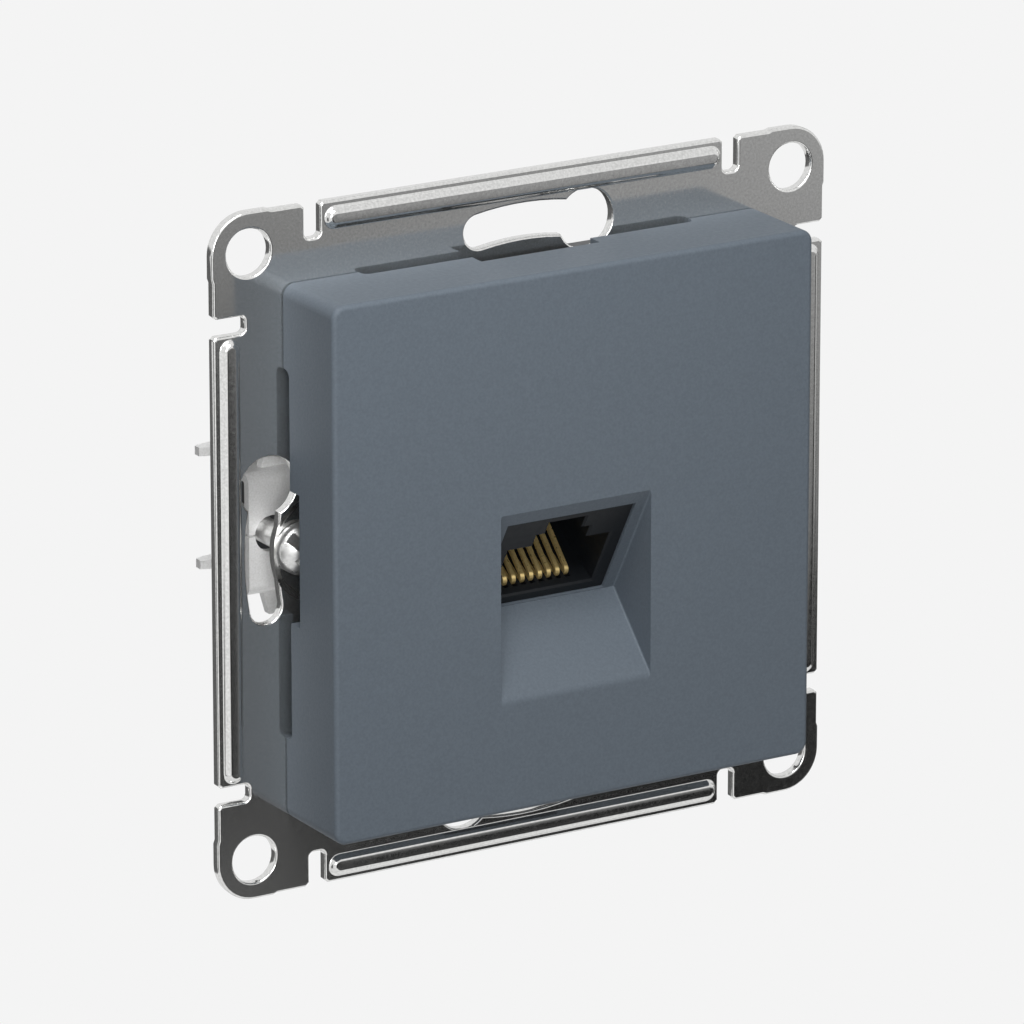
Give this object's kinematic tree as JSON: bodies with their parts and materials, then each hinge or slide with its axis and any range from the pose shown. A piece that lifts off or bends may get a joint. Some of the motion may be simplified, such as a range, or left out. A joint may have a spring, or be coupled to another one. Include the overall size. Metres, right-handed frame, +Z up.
{
  "type": "ethernet socket insert",
  "caption": "Flush wall insert with a slanted data jack behind a square cover, on a pressed steel support plate with screw-driven claws for a round wall box",
  "frame": {"origin": "centre of the support plate's rear face, which lies on the finished wall", "axes": "+X to the right seen from the front, +Y back into the wall, +Z up; the cover faces -Y"},
  "size_m": [0.0706, 0.0354, 0.0706],
  "materials": {
    "plate_steel": "satin zinc-plated sheet",
    "cover_plastic": "fine-grained matte grey-blue",
    "holder_plastic": "satin dark grey moulding",
    "jack_plastic": "satin near-black",
    "contact_gold": "gold-plated spring wire",
    "board": "green solder mask",
    "terminal_plastic": "satin grey",
    "cap_plastic": "satin off-white",
    "blade_bronze": "tinned",
    "claw_steel": "bright zinc-plated sheet",
    "screw_steel": "bright nickel-plated"
  },
  "bodies": {
    "insert": {"support_plate": "plate_steel", "cover": "cover_plastic", "carrier": "holder_plastic", "jack_housing": "jack_plastic", "circuit_board": "board", "contact_1": "contact_gold", "contact_2": "contact_gold", "contact_3": "contact_gold", "contact_4": "contact_gold", "contact_5": "contact_gold", "contact_6": "contact_gold", "contact_7": "contact_gold", "contact_8": "contact_gold", "terminal_block_left": "terminal_plastic", "wire_cap_left": "cap_plastic", "terminal_blade_left_1": "blade_bronze", "terminal_blade_left_2": "blade_bronze", "terminal_blade_left_3": "blade_bronze", "terminal_blade_left_4": "blade_bronze", "terminal_block_right": "terminal_plastic", "wire_cap_right": "cap_plastic", "terminal_blade_right_1": "blade_bronze", "terminal_blade_right_2": "blade_bronze", "terminal_blade_right_3": "blade_bronze", "terminal_blade_right_4": "blade_bronze"},
    "left_screw": {"claw_screw_left": "screw_steel"},
    "left_claw": {"claw_left": "claw_steel"},
    "right_screw": {"claw_screw_right": "screw_steel"},
    "right_claw": {"claw_right": "claw_steel"}
  },
  "joints": [
    {"name": "left_screw_turn", "type": "hinge", "parent": "insert", "child": "left_screw", "pos_m": [-0.0252, 0, 0], "axis": [0, 1, 0], "range_deg": [0, 1080]},
    {"name": "left_claw_swing", "type": "hinge", "parent": "insert", "child": "left_claw", "pos_m": [-0.0212, 0.00545, 0], "axis": [0, 0, 1], "range_deg": [0, 24]},
    {"name": "right_screw_turn", "type": "hinge", "parent": "insert", "child": "right_screw", "pos_m": [0.0252, 0, 0], "axis": [0, 1, 0], "range_deg": [0, 1080]},
    {"name": "right_claw_swing", "type": "hinge", "parent": "insert", "child": "right_claw", "pos_m": [0.0212, 0.00545, 0], "axis": [0, 0, -1], "range_deg": [0, 24]}
  ],
  "couplings": [
    {"joint": "left_claw_swing", "follows": "left_screw_turn", "ratio": 0.022222},
    {"joint": "right_claw_swing", "follows": "right_screw_turn", "ratio": 0.022222}
  ]
}
